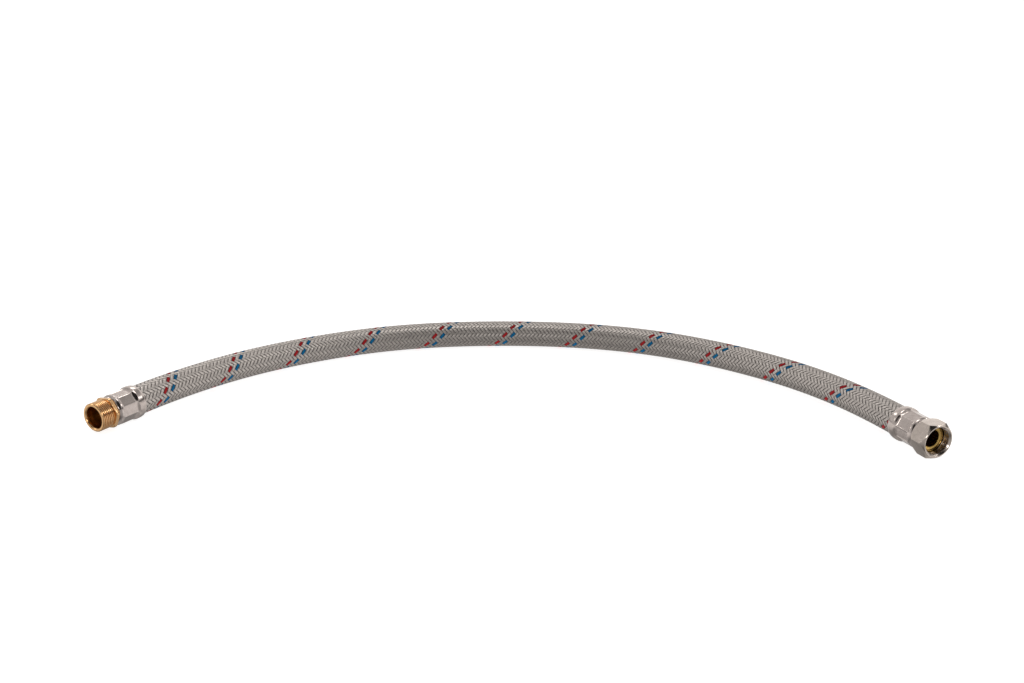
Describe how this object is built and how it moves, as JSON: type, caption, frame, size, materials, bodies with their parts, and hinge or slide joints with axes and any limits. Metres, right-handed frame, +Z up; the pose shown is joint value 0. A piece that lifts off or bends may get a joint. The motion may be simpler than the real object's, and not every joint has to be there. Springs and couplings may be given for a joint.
{
  "type": "braided stainless steel connection hose",
  "caption": "Flexible braided stainless steel water hose lying in a shallow bow, with a male threaded brass nipple at one end and a hexagonal swivel nut at the other.",
  "frame": {"origin": "under the middle of the hose's bounding box, on the surface that it lies on", "axes": "+Z up; +X from the male end towards the nut end; the bow bulges towards +Y and both mouths face -Y"},
  "size_m": [0.7558, 0.3306, 0.0317],
  "materials": {
    "braid": "woven stainless wire, satin",
    "tracer_red": "red plastic tracer yarn",
    "tracer_blue": "blue plastic tracer yarn",
    "liner": "matt black rubber",
    "raw_brass": "raw machined brass",
    "ferrule_steel": "polished stainless steel",
    "nickel_plate": "nickel-plated brass, satin bright"
  },
  "bodies": {
    "hose": {"braid_sleeve": "braid", "liner_tube": "liner", "male_nipple": "raw_brass", "ferrule_male_end": "ferrule_steel", "ferrule_nut_end": "ferrule_steel", "tailpiece": "raw_brass"},
    "nut": {"swivel_nut": "nickel_plate"}
  },
  "joints": [
    {"name": "nut_swivel", "type": "hinge", "parent": "hose", "child": "nut", "pos_m": [0.36004, -0.15216, 0.01529], "axis": [0.3559, -0.9343, -0.018], "continuous": true}
  ]
}
